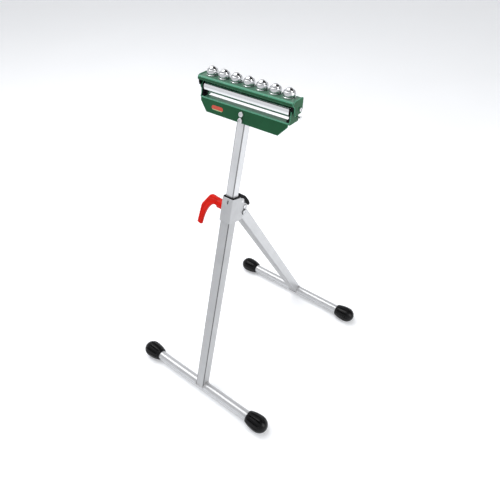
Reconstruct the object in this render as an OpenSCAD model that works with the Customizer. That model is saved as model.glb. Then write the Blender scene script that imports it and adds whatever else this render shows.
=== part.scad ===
// Folding support stand for long work: ball rail, roller and stop edge on one height-adjustable head.
// Millimetres, +Z up. X runs along the roller and the foot tubes, -Y is the side of the leaning post's foot.
// The origin is on the floor, midway between the two foot tubes.

/* [Feet] */
// Distance between the axes of the two foot tubes
foot_gap = 467; // [440:1:490]
// Length of each foot tube
foot_len = 410; // [390:2:430]
// Outer diameter of each foot tube
foot_d = 25; // [24.5:0.5:25]
// Length of a rubber foot cap
cap_len = 60; // [56:1:66]
// Largest diameter of a rubber foot cap
cap_d = 45; // [44:0.5:50]

/* [Posts] */
// Lean of the two posts from the vertical, in degrees
post_lean = 15.8; // [15:0.1:17]
// Width of the outer post and of the rear leg, both square tube
post_w = 25; // [25:0.5:25]
// Width of the sliding inner post
slide_w = 20; // [20:0.5:20]
// Wall of every tube
tube_wall = 1.5; // [1.5:0.1:1.5]
// Lower end of the inner post, measured up the post from the front foot tube
slide_low = 285; // [250:5:300]

/* [Collar] */
// Lower end of the collar, measured up the post
collar_low = 502; // [500:1:505]
// Upper end of the collar and of the outer post
collar_top = 560; // [559:0.5:561]
// Distance of the leg's pivot behind the post's centre line
pivot_back = 34; // [34:0.5:35]
// Height of the leg's pivot up the post
pivot_up = 521; // [520:0.5:522]

/* [Clamp] */
// Height of the clamp screw up the post
clamp_up = 533; // [532:0.5:535]
// How far the clamp lever's tip hangs below its screw
lever_drop = 68; // [64:1:72]

/* [Head] */
// Height of the roller's axis up the post
roller_up = 773; // [765:1:790]
// Diameter of the roller
roller_d = 25; // [24:0.5:25.5]
// Half length of the roller tube
roller_half = 105.5; // [104:0.5:105.5]
// Distance between neighbouring balls
ball_pitch = 31.3; // [30:0.1:32]
// Diameter of the balls
ball_d = 19.5; // [19.2:0.1:19.5]
// Height of the slanted front plate
plate_h = 28; // [26:1:32]

/* [Hidden] */
$fn = 64;
ball_count = 7;
BALLS = [1:ball_count];

// Colours of the finishes
steel = "#c9cccf";
zinc = "#dfe3e6";
green = "#1f5a3a";
black = "#1a1b1d";
red = "#d0180c";

// Feet
tread_flat = 0.5;
foot_z = cap_d / 2 - tread_flat;
cap_mid = foot_len / 2 - 10;
cap_tail = cap_len * 0.6;
cap_nose = cap_len - cap_tail;

// Rear leg, worked out from its pivot on the collar
pivot_y = -foot_gap / 2 + pivot_up * sin(post_lean) + pivot_back * cos(post_lean);
pivot_z = foot_z + pivot_up * cos(post_lean) - pivot_back * sin(post_lean);
leg_lean = atan2(foot_gap / 2 - pivot_y, pivot_z - foot_z);
leg_len = norm([foot_gap / 2 - pivot_y, pivot_z - foot_z]);
leg_over = 13;
fold_angle = post_lean + leg_lean;
bush_r = 5;
pivot_r = 3;
stop_up = 13;
stop_r = 3;

// Collar and its ears
collar_w = post_w + 5;
ear_in = 13;
ear_out = 15;
latch_back = 22;
latch_up = 550;
latch_pin_r = 2;
latch_half = 6;
tab_x = [0.5, 3.5];
tab_z = [546, 555];

// Clamp
screw_r = 4;
nut_r = 7.5;
hub_r = 11;
hub_x = [-32.5, -15.8];
head_x = -27;
nut_x = -20.5;
lever_half = 5.5;

// Head, measured from the roller's axis
head_y = -foot_gap / 2 + roller_up * sin(post_lean);
head_z = foot_z + roller_up * cos(post_lean);
sheet = 2;
ledge_z = -18;
ledge_front = -17.6;
ledge_deep = 15.3;
ear_x = [109.5, 111.5];
arm_x = [115, 117.5];
axle_r = 4;
run = 0.05;
rail_front = -16;
rail_back = 18;
rail_top = 23.2;
lip_z = 15;
ball_y = 5.4;
cup_r = 12.2;
cup_mid = 5.5;
cup_lip = 11.5;
ball_up = 7.6;
cup_spigot_r = 8;
seat_low = -5.5;
ball_gap = 0.4;
plate_face = slide_w / 2 + sheet;
plate_top = roller_up + (ledge_z - plate_face * sin(post_lean)) / cos(post_lean);
plate_half = 109;
plate_side = 8;
plate_cut = 18;
bolt_up = [roller_up - 33, roller_up - 45];
slide_top = roller_up - 25;
flip_at = [8, 3.5];
stop_at = [10.4, -13.9];
block_x = [106.9, 109.4];
end_x = [112.2, 115];

// Points of an arc about c, from angle a0 to a1
function arc(c, r, a0, a1, n = 6) =
    [for (i = [0:n]) let (a = a0 + (a1 - a0) * i / n) [c[0] + r * cos(a), c[1] + r * sin(a)]];
// Points of a quadratic curve from a to c, drawn towards b
function curve(a, b, c, n = 8) =
    [for (i = [0:n]) let (t = i / n) (1 - t) * (1 - t) * a + 2 * t * (1 - t) * b + t * t * c];
// Outline of a rectangle with round corners, centred
function rounded(w, h, r) = concat(
    arc([w / 2 - r, h / 2 - r], r, 0, 90), arc([-w / 2 + r, h / 2 - r], r, 90, 180),
    arc([-w / 2 + r, -h / 2 + r], r, 180, 270), arc([w / 2 - r, -h / 2 + r], r, 270, 360));

// Places the children up the post: X across, Y behind the centre line, Z up the post
module on_post() translate([0, -foot_gap / 2, foot_z]) rotate([-post_lean, 0, 0]) children();
// Places the children up the rear leg from the rear foot tube
module on_leg() translate([0, foot_gap / 2, foot_z]) rotate([leg_lean, 0, 0]) children();
// Places the children about the roller's axis, level
module on_head() translate([0, head_y, head_z]) children();
// Extrudes an outline drawn in Y and Z from x0 to x1
module yz_plate(x0, x1) translate([x0, 0, 0]) rotate([90, 0, 90]) linear_extrude(x1 - x0) children();
// Extrudes an outline drawn in X and Z from y0 to y1
module xz_plate(y0, y1) translate([0, y1, 0]) rotate([90, 0, 0]) linear_extrude(y1 - y0) children();
module x_rod(r, x0, x1, sides = $fn)
    translate([x0, 0, 0]) rotate([0, 90, 0]) cylinder(r = r, h = x1 - x0, $fn = sides);
module y_rod(r, y0, y1, sides = $fn)
    translate([0, y0, 0]) rotate([-90, 0, 0]) cylinder(r = r, h = y1 - y0, $fn = sides);
module both_sides() for (s = [0, 1]) mirror([s, 0, 0]) children();
module block(w, r, z0, z1) translate([0, 0, z0]) linear_extrude(z1 - z0) polygon(rounded(w, w, r));
module square_tube(w, z0, z1) difference() {
    block(w, 2, z0, z1);
    block(w - 2 * tube_wall, 0.8, z0 - 1, z1 + 1);
}

// Feet
module foot_tube(y) color(zinc) translate([0, y, foot_z]) difference() {
    x_rod(foot_d / 2, -foot_len / 2, foot_len / 2);
    x_rod(foot_d / 2 - tube_wall, -foot_len / 2 - 1, foot_len / 2 + 1);
}
// Egg outline of a foot cap: a long tail towards the tube and a short round nose
function cap_outline(n = 12) = concat(
    [for (i = [0:n]) let (s = -cap_tail + i * cap_tail / n)
        [cap_d / 2 * sqrt(1 - pow(s / (cap_tail * 1.44), 2)), s]],
    [for (i = [1:n]) let (a = 90 * i / n) [cap_d / 2 * cos(a), cap_nose * sin(a)]],
    [[0, -cap_tail]]);
module foot_cap(side, y) color(black) translate([side * cap_mid, y, foot_z]) difference() {
    rotate([0, side * 90, 0]) rotate_extrude() polygon(cap_outline());
    translate([0, 0, -foot_z - 10]) cube([2 * cap_len, 2 * cap_d, 20], center = true);
    x_rod(foot_d / 2, side > 0 ? -cap_len : -10, side > 0 ? 10 : cap_len);
}

// Posts and collar
module outer_post() color(zinc) on_post() difference() {
    square_tube(post_w, 4, collar_top);
    x_rod(foot_d / 2, -post_w, post_w);
    translate([0, 0, clamp_up]) x_rod(screw_r + 0.5, -post_w, 0);
    tab_box();
}
// Slot through the front walls for the guide sleeve's snap tab
module tab_box()
    translate([tab_x[0], -collar_w / 2 - 1, tab_z[0]])
        cube([tab_x[1] - tab_x[0], 6, tab_z[1] - tab_z[0]]);
function ear_outline() = concat(
    [[10, collar_low], [28, collar_low]],
    arc([pivot_back, pivot_up], 9.5, -60, 0),
    arc([pivot_back, pivot_up + stop_up], 8.5, 0, 70),
    [[31, latch_up - 7]],
    arc([latch_back, latch_up], 6.5, 0, 80),
    [[10, collar_top - 1]]);
module collar() color(zinc) on_post() difference() {
    union() {
        block(collar_w, 3, collar_low, collar_top);
        both_sides() yz_plate(ear_in, ear_out) polygon(ear_outline());
    }
    block(post_w, 2, collar_low - 1, collar_top + 1);
    tab_box();
    translate([0, 0, clamp_up]) x_rod(screw_r + 0.5, -collar_w, 0);
    translate([0, pivot_back, pivot_up]) x_rod(pivot_r, -collar_w, collar_w);
    translate([0, pivot_back, pivot_up + stop_up]) x_rod(stop_r, -collar_w, collar_w);
    translate([0, latch_back, latch_up]) x_rod(latch_pin_r, -collar_w, collar_w);
}
module guide_sleeve() color(black) on_post() difference() {
    union() {
        block(post_w - 2 * tube_wall, 0.8, collar_low + 10, collar_top);
        block(collar_w - 2, 3, collar_top, collar_top + 2.2);
        translate([tab_x[0], -collar_w / 2, tab_z[0]])
            cube([tab_x[1] - tab_x[0], 4.5, tab_z[1] - tab_z[0]]);
    }
    block(slide_w + 0.3, 2.1, collar_low, collar_top + 5);
    translate([0, 0, clamp_up]) x_rod(screw_r + 0.8, -post_w, 0);
}
module leg_pivot_bolt() color(steel) on_post() translate([0, pivot_back, pivot_up]) difference() {
    union() {
        x_rod(pivot_r, -ear_out - 5, ear_out);
        x_rod(5.5, ear_out, ear_out + 3.5);
    }
    x_rod(2.6, ear_out + 1.5, ear_out + 5, 6);
}
module leg_pivot_nut() color(steel) on_post() translate([0, pivot_back, pivot_up]) difference() {
    x_rod(5.77, -ear_out - 5, -ear_out, 6);
    x_rod(pivot_r, -ear_out - 6, -ear_out + 1);
}
module leg_stop_pin() color(steel) on_post() translate([0, pivot_back, pivot_up + stop_up]) {
    x_rod(stop_r, -ear_out, ear_out);
    both_sides() x_rod(4.6, ear_out, ear_out + 2);
}
module latch_pin() color(steel) on_post() translate([0, latch_back, latch_up]) {
    x_rod(latch_pin_r, -ear_out, ear_out);
    both_sides() x_rod(3, ear_out, ear_out + 1);
}
// Torsion spring on the latch's pin, wound as a closed coil of five turns
module latch_spring() color(steel) on_post() translate([latch_half + 0.5, latch_back, latch_up])
    rotate([0, 90, 0]) rotate_extrude()
        polygon(concat([[2.3, 0]],
            [for (i = [0:4], k = [0:4]) [3.4 + 0.5 * sin(36 * k + 18), i + (k + 0.5) / 5]],
            [[2.3, 5]]));

// Clamp
module clamp_nut() color(steel) on_post() translate([0, 0, clamp_up]) difference() {
    x_rod(nut_r, nut_x, -collar_w / 2, 6);
    x_rod(screw_r + run, nut_x - 1, -collar_w / 2 + 1);
}
module pressure_pad() color(black) on_post() translate([0, 0, clamp_up])
    x_rod(screw_r + 0.4, -slide_w / 2 - 2, -slide_w / 2 - 0.15);
module clamp_screw() color(steel) on_post() translate([0, 0, clamp_up]) {
    x_rod(screw_r, head_x, -slide_w / 2 - 2.1);
    x_rod(nut_r, hub_x[0] + 0.5, head_x, 6);
}
// Side view of the lever's arm, from its hub out to the elbow and down to the tip
function arm_outline() = concat(
    [[-18, 8.5], [-45, 9.5], [-55, 5], [-75, -17], [-83, 3 - lever_drop], [-81, -lever_drop]],
    curve([-71.5, -lever_drop], [-63, -18], [-38, -7.5]),
    [[-18, -10.5]]);
module clamp_lever() color(red) on_post() translate([0, 0, clamp_up]) difference() {
    union() {
        x_rod(hub_r, hub_x[0], hub_x[1]);
        xz_plate(-lever_half, lever_half) polygon(arm_outline());
    }
    x_rod(8.4, nut_x - 0.6, hub_x[1] + 3);
    x_rod(screw_r, -40, 0);
    x_rod(nut_r, hub_x[0] - 1, head_x, 6);
    translate([hub_x[0] - 20, -lever_half - 1, -7]) cube([20.5, 2 * lever_half + 2, 14]);
}

// Rear leg
module rear_leg_tube() color(zinc) on_leg() difference() {
    square_tube(post_w, 4, leg_len + leg_over);
    x_rod(foot_d / 2, -post_w, post_w);
    translate([0, 0, leg_len]) x_rod(bush_r, -post_w, post_w);
    translate([0, 0, leg_len]) yz_plate(-post_w, post_w) polygon(stop_window());
}
// Part of the leg's upper end that the stop pin passes through as the leg folds
function stop_window() = concat(
    arc([0, 0], stop_up - stop_r - 0.3, 90 + 14.5, 90 - fold_angle - 14.5, 10),
    arc([0, 0], 40, 90 - fold_angle - 14.5, 90 + 14.5, 6));
module leg_bush() color(steel) on_leg() translate([0, 0, leg_len]) difference() {
    x_rod(bush_r, -post_w / 2 - 0.3, post_w / 2 + 0.3);
    x_rod(pivot_r + run, -post_w, post_w);
}
// Side view of the latch: a boss on its pin, a tooth above the leg's end and a bent finger bar
function latch_outline() = concat(
    arc([latch_back, latch_up], 5, 130, 250),
    [[26, latch_up - 3.5], [31, latch_up - 1], [34, latch_up - 8.5], [39, latch_up - 5],
     [42.5, latch_up - 6], [56, latch_up - 18.5], [63, latch_up - 23], [67.5, latch_up - 19.5]],
    [[62, latch_up - 10.5], [45, latch_up + 4.5], [25, latch_up + 14], [20.5, latch_up + 13.5]]);
module leg_latch() color(black) on_post() difference() {
    yz_plate(-latch_half, latch_half) polygon(latch_outline());
    translate([0, latch_back, latch_up]) x_rod(latch_pin_r + run, -post_w, post_w);
}

// Inner post and saddle
module inner_post() color(zinc) on_post() difference() {
    square_tube(slide_w, slide_low, slide_top);
    for (z = bolt_up) translate([0, 0, z]) y_rod(pivot_r, -post_w, post_w);
}
module glide_plug() color(black) on_post() {
    block(post_w - 2 * tube_wall - 0.7, 0.8, slide_low - 8, slide_low);
    block(slide_w - 2 * tube_wall, 0.8, slide_low, slide_low + 15);
}
module post_top_block() color(black) on_post() difference() {
    block(slide_w - 2 * tube_wall, 0.8, slide_top - 30, slide_top);
    for (z = bolt_up) translate([0, 0, z]) y_rod(pivot_r + 0.2, -post_w, post_w);
}
// Front plate: a trapezoid with short upright sides, parallel to the post
function plate_outline() = [
    [-plate_half, plate_top], [-plate_half, plate_top - plate_side],
    [-plate_half + plate_cut, plate_top - plate_h], [plate_half - plate_cut, plate_top - plate_h],
    [plate_half, plate_top - plate_side], [plate_half, plate_top]];
// End ear of the saddle, seen from the side: it carries the axle, the rail's pivot and its stop pin
function saddle_ear() = concat(
    arc(flip_at, 6.3, 0, 80),
    arc([0, 0], 12.5, 90, 180, 8),
    [[-15, ledge_z + 4], [ledge_front, ledge_z]],
    arc([-13.5, -19], 3.8, 180, 270, 4),
    arc([11.5, -19.8], 3, 270, 360, 4),
    [[13, -10]]);
module saddle() color(green) {
    difference() {
        union() {
            on_head() translate([-ear_x[1], ledge_front, ledge_z - sheet])
                cube([2 * ear_x[1], ledge_deep, sheet]);
            on_post() xz_plate(-plate_face, -slide_w / 2) polygon(plate_outline());
            on_head() both_sides() yz_plate(ear_x[0], ear_x[1]) polygon(saddle_ear());
        }
        on_head() x_rod(axle_r, -130, 130);
        at_flip() x_rod(pivot_r, -130, 130);
        at_stop() x_rod(2, -130, 130);
        on_post() for (z = bolt_up) translate([0, 0, z]) y_rod(pivot_r, -post_w, post_w);
    }
}
module saddle_bolts() color(steel) on_post() for (z = bolt_up) translate([0, 0, z]) {
    y_rod(pivot_r, -plate_face, slide_w / 2 + 7);
    y_rod(5.3, -plate_face - 3.5, -plate_face);
}
module saddle_nuts() color(steel) on_post() for (z = bolt_up) translate([0, 0, z]) difference() {
    y_rod(5.77, slide_w / 2, slide_w / 2 + 5.5, 6);
    y_rod(pivot_r, 0, slide_w);
}
module front_sticker() color(red) on_post() translate([-62.5, 0, roller_up - 37])
    xz_plate(-plate_face - 0.3, -plate_face) polygon(rounded(30, 9, 3.5));

// Roller
// Bearing block of the roller's axle: an upright cheek against the ear and a foot on the ledge
module bearing_block(side) color(black) on_head() mirror([side > 0 ? 0 : 1, 0, 0]) difference() {
    union() {
        yz_plate(block_x[0], block_x[1]) polygon(concat(
            arc([-1, -1], 12, 0, 180, 12), [[-13, ledge_z], [-3, ledge_z]]));
        yz_plate(block_x[0] - 4, block_x[1])
            polygon([[-15, ledge_z], [-15, -13.5], [-3, -13.5], [-3, ledge_z]]);
    }
    x_rod(axle_r, 0, 130);
    translate([0, flip_at[0], flip_at[1]]) x_rod(pivot_r + 0.2, 0, 130);
}
module roller_axle() color(steel) on_head() x_rod(axle_r, -ear_x[1] - 1, ear_x[1] + 1);
module roller_tube() color(steel) on_head() difference() {
    x_rod(roller_d / 2, -roller_half, roller_half);
    x_rod(roller_d / 2 - tube_wall, -roller_half - 1, roller_half + 1);
}
module roller_end(side) color(black) on_head() mirror([side > 0 ? 0 : 1, 0, 0]) difference() {
    union() {
        x_rod(roller_d / 2 - tube_wall, roller_half - 10, roller_half);
        x_rod(roller_d / 2 - 0.4, roller_half, roller_half + 1);
    }
    x_rod(axle_r + run, 0, 130);
}
// Places the children on the axis that the rail tilts about, and on its stop pins
module at_flip() on_head() translate([0, flip_at[0], flip_at[1]]) children();
module at_stop() on_head() translate([0, stop_at[0], stop_at[1]]) children();
module rail_pivot_bolts() color(steel) at_flip() both_sides() {
    x_rod(pivot_r, ear_x[0] - 2, arm_x[1] + 0.3);
    x_rod(4.4, ear_x[1], arm_x[0] - 0.2);
    x_rod(3.9, arm_x[1] + 0.3, arm_x[1] + 3);
}
module rail_stop_pins() color(steel) at_stop() both_sides() {
    x_rod(2, ear_x[0] - 0.5, arm_x[1] + 1);
    x_rod(3, arm_x[1] + 1, arm_x[1] + 3);
}

// Ball rail
function rail_section() = concat(
    [[rail_front, lip_z]],
    arc([rail_front + 2.5, rail_top - 2.5], 2.5, 180, 90, 4),
    arc([rail_back - 2.5, rail_top - 2.5], 2.5, 90, 0, 4),
    [[rail_back, lip_z], [rail_back - sheet, lip_z],
     [rail_back - sheet, rail_top - sheet], [rail_front + sheet, rail_top - sheet],
     [rail_front + sheet, lip_z]]);
// End arm of the rail, seen from the side: arched top, round foot about its pivot
function rail_arm() = concat(
    [[rail_front, lip_z]],
    arc([rail_front + 8, rail_top - 6.7], 8, 180, 90),
    arc([rail_back - 3, rail_top - 1.7], 3, 90, 0),
    [[rail_back, lip_z]],
    arc(flip_at, 9.5, 10, -60),
    arc([-5, -2.5], 4, 270, 180),
    [[-11.5, lip_z - 2]]);
// Moulded end piece inside the arm, under the rail's front lip
function rail_end_outline() = [
    [rail_front + 0.2, lip_z - 0.1], [rail_front + 0.4, 5], [-12.8, 4], [-10.5, lip_z - 0.1]];
module ball_rail() color(green) on_head() difference() {
    union() {
        yz_plate(-arm_x[0] - 1, arm_x[0] + 1) polygon(rail_section());
        both_sides() yz_plate(arm_x[0], arm_x[1]) polygon(rail_arm());
    }
    for (i = BALLS) at_ball(i) translate([0, 0, -10]) cylinder(r = cup_spigot_r, h = 20);
    translate([0, flip_at[0], flip_at[1]]) x_rod(pivot_r + run, -130, 130);
}
module rail_end(side) color(black) on_head() mirror([side > 0 ? 0 : 1, 0, 0])
    yz_plate(end_x[0], end_x[1]) polygon(rail_end_outline());
// Places the children on the rail's top face at ball i
module at_ball(i) translate([(i - (ball_count + 1) / 2) * ball_pitch, ball_y, rail_top]) children();
module ball_cup(i) color(steel) on_head() at_ball(i) difference() {
    union() {
        translate([0, 0, -6.2]) cylinder(r = cup_spigot_r, h = 7);
        cylinder(r = cup_r + 0.3, h = 1.2);
        intersection() {
            translate([0, 0, cup_mid]) sphere(r = cup_r);
            translate([0, 0, 0.6]) cylinder(r = 20, h = cup_lip - 0.6);
        }
    }
    translate([0, 0, ball_up]) sphere(r = ball_d / 2 + ball_gap);
    translate([0, 0, seat_low]) cylinder(r = 4, h = 5);
}
module ball_seats() color(black) on_head() for (i = BALLS) at_ball(i) difference() {
    translate([0, 0, seat_low]) cylinder(r = 4, h = -seat_low);
    translate([0, 0, ball_up]) sphere(r = ball_d / 2 + ball_gap);
}
module cup_nuts() color(steel) on_head() for (i = BALLS) at_ball(i) difference() {
    translate([0, 0, -5.2]) cylinder(r = 10.9, h = 3.2, $fn = 6);
    translate([0, 0, -10]) cylinder(r = cup_spigot_r, h = 20);
}
module ball(i) color(steel) on_head() at_ball(i) translate([0, 0, ball_up]) sphere(r = ball_d / 2);

foot_tube(-foot_gap / 2);  // front_foot_tube
foot_cap(-1, -foot_gap / 2);  // front_cap_left
foot_cap(1, -foot_gap / 2);  // front_cap_right
outer_post();
collar();
guide_sleeve();
clamp_nut();
pressure_pad();
leg_pivot_bolt();
leg_pivot_nut();
leg_stop_pin();
latch_pin();
latch_spring();
rear_leg_tube();
foot_tube(foot_gap / 2);  // rear_foot_tube
foot_cap(-1, foot_gap / 2);  // rear_cap_left
foot_cap(1, foot_gap / 2);  // rear_cap_right
leg_bush();
clamp_lever();
clamp_screw();
leg_latch();
inner_post();
glide_plug();
post_top_block();
saddle();
saddle_bolts();
saddle_nuts();
front_sticker();
roller_axle();
rail_pivot_bolts();
rail_stop_pins();
bearing_block(-1);  // bearing_block_left
bearing_block(1);  // bearing_block_right
roller_tube();
roller_end(-1);  // roller_end_left
roller_end(1);  // roller_end_right
ball_rail();
rail_end(-1);  // rail_end_left
rail_end(1);  // rail_end_right
ball_seats();
cup_nuts();
for (i = BALLS) ball_cup(i);
for (i = BALLS) ball(i);
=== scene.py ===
"""Folding support stand with a ball rail and a roller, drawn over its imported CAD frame."""
import math

import bmesh
import bpy
from mathutils import Matrix, Vector


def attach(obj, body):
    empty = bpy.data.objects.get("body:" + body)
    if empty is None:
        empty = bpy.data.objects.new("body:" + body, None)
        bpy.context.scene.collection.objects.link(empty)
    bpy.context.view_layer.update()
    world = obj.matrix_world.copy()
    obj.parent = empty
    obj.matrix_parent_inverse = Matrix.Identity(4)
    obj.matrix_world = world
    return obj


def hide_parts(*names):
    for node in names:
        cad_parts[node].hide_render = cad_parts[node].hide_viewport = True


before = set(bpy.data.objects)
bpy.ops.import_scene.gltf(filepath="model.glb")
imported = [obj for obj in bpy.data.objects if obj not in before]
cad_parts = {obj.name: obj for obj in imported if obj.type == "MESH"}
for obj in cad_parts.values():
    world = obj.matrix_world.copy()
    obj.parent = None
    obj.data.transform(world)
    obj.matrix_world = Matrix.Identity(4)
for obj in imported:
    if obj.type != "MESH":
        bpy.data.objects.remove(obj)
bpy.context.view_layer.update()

# Sizes of the design, in millimetres
FOOT_Y, FOOT_Z, FOOT_R, FOOT_HALF = 233.5, 22.0, 12.5, 205.0
POST_HALF, SLIDE_HALF, WALL = 12.5, 10.0, 1.5
LEAN = math.radians(15.8)

# Heights along the leaning post
SLIDE_LOW, COLLAR_LOW, CLAMP_UP, COLLAR_TOP, ROLLER_UP = 285.0, 502.0, 533.0, 560.0, 773.0
SLIDE_TOP, TAB_UP, LABEL_UP = ROLLER_UP - 25, 550.5, ROLLER_UP - 37

# Places in the post's frame, as (behind its axis, up the post)
PIVOT, STOP_PIN, LATCH = (34.0, 521.0), (34.0, 534.0), (22.0, 550.0)
LEG_OVER = 13.0
COLLAR_EAR_X = (13.0, 15.05)
PLATE_FACE, PLATE_H = -12.0, 28.0
LEVER_DROP = 68.0

# The head, from the roller's axis. Spans along X are for the right side; (y, z) places are for both
BLOCK_X, BLOCK_FOOT_X, EAR_X = (106.9, 109.4), (102.9, 109.4), (109.5, 111.5)
CLIP_X, ARM_X, PLATE_X = (112.2, 114.95), (115.0, 117.5), (91, 109, 109.6)
FLIP, STOP = (8.0, 3.5), (10.4, -13.9)
ROLLER_R, ROLLER_HALF, AXLE_R = 12.5, 105.5, 4.0
LEDGE_Z, LEDGE_BACK = -18.0, -2.3
RAIL_FRONT, RAIL_BACK, RAIL_LOW, RAIL_TOP, RAIL_HALF = -16, 18, 15, 23.2, 115.6
SHEET = 2.0
BALL_COUNT, BALL_PITCH, BALL_Y = 7, 31.3, 5.4

# A ball unit, from the top of the rail
BALL_R, BALL_UP, BALL_GAP = 9.75, 7.6, 0.4
CUP_R, CUP_MID, CUP_LIP = 12.2, 5.5, 11.5
SPIGOT_R, SPIGOT_LOW, SEAT_HOLE_R = 8.0, -6.2, 4.0

SIDES = ((-1, "left"), (1, "right"))


def at(x, y, z):
    """A shift in millimetres."""
    return Matrix.Translation(Vector((x, y, z)) * 0.001)


def span(side, x):
    """The two ends along X of something on one side, in rising order."""
    return sorted((side * x[0], side * x[1]))


# Places in the stand: up the leaning post, up the rear leg, and about the roller's axis
POST = at(0, -FOOT_Y, FOOT_Z) @ Matrix.Rotation(-LEAN, 4, "X")
pivot_y = -FOOT_Y + PIVOT[1] * math.sin(LEAN) + PIVOT[0] * math.cos(LEAN)
pivot_z = PIVOT[1] * math.cos(LEAN) - PIVOT[0] * math.sin(LEAN)
LEG_LEN = math.hypot(FOOT_Y - pivot_y, pivot_z)
LEG_LEAN = math.atan2(FOOT_Y - pivot_y, pivot_z)
LEG = at(0, FOOT_Y, FOOT_Z) @ Matrix.Rotation(LEG_LEAN, 4, "X")
HEAD = at(0, -FOOT_Y + ROLLER_UP * math.sin(LEAN), FOOT_Z + ROLLER_UP * math.cos(LEAN))

# Turns that point Z to the right, left, front and back
RIGHT, LEFT = (Matrix.Rotation(a * math.pi / 2, 4, "Y") for a in (1, -1))
FRONT, BACK = (Matrix.Rotation(a * math.pi / 2, 4, "X") for a in (1, -1))


# ---------------------------------------------------------------- materials

class Finish:
    """A material built from nodes, on top of one Principled shader."""

    def __init__(self, name, **sockets):
        self.mat = bpy.data.materials.new(name)
        self.mat.use_nodes = True
        self.tree = self.mat.node_tree
        self.shader = self.tree.nodes["Principled BSDF"]
        for key, value in sockets.items():
            self.shader.inputs[key.replace("_", " ")].default_value = value
        self.place = self.node("ShaderNodeTexCoord").outputs["Object"]

    def node(self, kind, **settings):
        made = self.tree.nodes.new(kind)
        for key, value in settings.items():
            setattr(made, key, value)
        return made

    def put(self, value, socket):
        if hasattr(value, "is_output"):
            self.tree.links.new(value, socket)
        else:
            socket.default_value = value

    def stretched(self, scale, turn=(0, 0, 0)):
        """Object space turned by the angles and scaled per axis."""
        turned = self.node("ShaderNodeMapping")
        self.put(self.place, turned.inputs["Vector"])
        turned.inputs["Rotation"].default_value = turn
        scaled = self.node("ShaderNodeMapping")
        self.put(turned.outputs[0], scaled.inputs["Vector"])
        scaled.inputs["Scale"].default_value = scale
        return scaled.outputs[0]

    def noise(self, scale, detail=4.0, rough=0.55, vector=None):
        made = self.node("ShaderNodeTexNoise")
        self.put(vector or self.place, made.inputs["Vector"])
        made.inputs["Scale"].default_value = scale
        made.inputs["Detail"].default_value = detail
        made.inputs["Roughness"].default_value = rough
        return made.outputs["Fac"]

    def spread(self, value, low, high, start=0.3, end=0.7):
        """Value between start and end becomes a number from low to high."""
        made = self.node("ShaderNodeMapRange")
        for name, number in (("From Min", start), ("From Max", end), ("To Min", low), ("To Max", high)):
            made.inputs[name].default_value = number
        self.put(value, made.inputs["Value"])
        return made.outputs[0]

    def maths(self, how, a, b=0.0):
        made = self.node("ShaderNodeMath", operation=how)
        self.put(a, made.inputs[0])
        self.put(b, made.inputs[1])
        return made.outputs[0]

    def mix(self, factor, a, b):
        made = self.node("ShaderNodeMix", data_type="RGBA")
        self.put(factor, made.inputs["Factor"])
        self.put(a, made.inputs["A"])
        self.put(b, made.inputs["B"])
        return made.outputs["Result"]

    def edges(self):
        """1 on rounded edges, 0 elsewhere."""
        return self.node("ShaderNodeAttribute", attribute_name="edge").outputs["Fac"]

    def upward(self):
        """How far the surface faces up, from -1 to 1, in the piece's own frame."""
        split = self.node("ShaderNodeSeparateXYZ")
        self.put(self.node("ShaderNodeTexCoord").outputs["Normal"], split.inputs[0])
        return split.outputs["Z"]

    def worn(self, start=0.45, end=0.62):
        """Patches along the rounded edges where the finish has rubbed."""
        return self.maths("MULTIPLY", self.edges(), self.spread(self.noise(420), 0, 1, start, end))

    def bump(self, height, strength, distance, under=None):
        made = self.node("ShaderNodeBump")
        made.inputs["Strength"].default_value = strength
        made.inputs["Distance"].default_value = distance
        self.put(height, made.inputs["Height"])
        if under is not None:
            self.put(under, made.inputs["Normal"])
        return made.outputs[0]

    def set(self, **sockets):
        for key, value in sockets.items():
            self.put(value, self.shader.inputs[key.replace("_", " ")])
        return self.mat


def grey(value):
    return (value, value * 1.01, value * 1.03, 1)


def zinc_tube(name, turn, stretch, light=0.52, metal=0.45, line=0.85):
    """Plated steel: faint drawing lines, cloudy plating, rubbed edges, painted shade on corners and downward
    faces.
    """
    f = Finish(name, Metallic=metal)
    lines = f.noise(1.0, 6, 0.6, f.stretched(stretch, turn))
    clouds = f.noise(26, 5, 0.6)
    specks = f.noise(900, 2)
    tone = f.mix(f.spread(clouds, 0, 1), grey(light * 0.93), grey(light * 1.06))
    tone = f.mix(f.spread(lines, 0, 0.35), tone, grey(light * 0.86))
    tone = f.mix(f.worn(), tone, grey(light * 1.3))
    # Painted shade: faces turned down get a darker grey
    tone = f.mix(f.spread(f.upward(), 1, 0, -0.48, -0.32), tone, grey(light * 0.52))
    # Painted shade: a dark grey line along the marked rolled corners, as strong as line sets
    corner = f.node("ShaderNodeAttribute", attribute_name="corner").outputs["Fac"]
    tone = f.mix(f.maths("MULTIPLY", corner, line), tone, grey(light * 0.22))
    rough = f.maths("ADD", f.spread(lines, 0.30, 0.42), f.spread(clouds, -0.04, 0.05))
    normal = f.bump(specks, 0.06, 0.0003, f.bump(lines, 0.16, 0.0004))
    return f.set(Base_Color=tone, Roughness=rough, Normal=normal)


def bright_metal(name, light, rough, scratches=0.08, lines=(500, 500, 500)):
    """Bright plated metal with fine handling marks."""
    f = Finish(name, Metallic=1.0)
    marks = f.noise(1.0, 5, 0.7, f.stretched(lines))
    haze = f.noise(60, 4)
    tone = f.mix(f.spread(haze, 0, 1), grey(light * 0.95), grey(light))
    tone = f.mix(f.spread(marks, 0, 0.25, 0.45, 0.7), tone, grey(light * 0.8))
    rough = f.maths("ADD", f.spread(haze, rough, rough * 1.5), f.spread(marks, 0, rough * 0.6))
    return f.set(Base_Color=tone, Roughness=rough, Normal=f.bump(marks, scratches, 0.0002))


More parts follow.
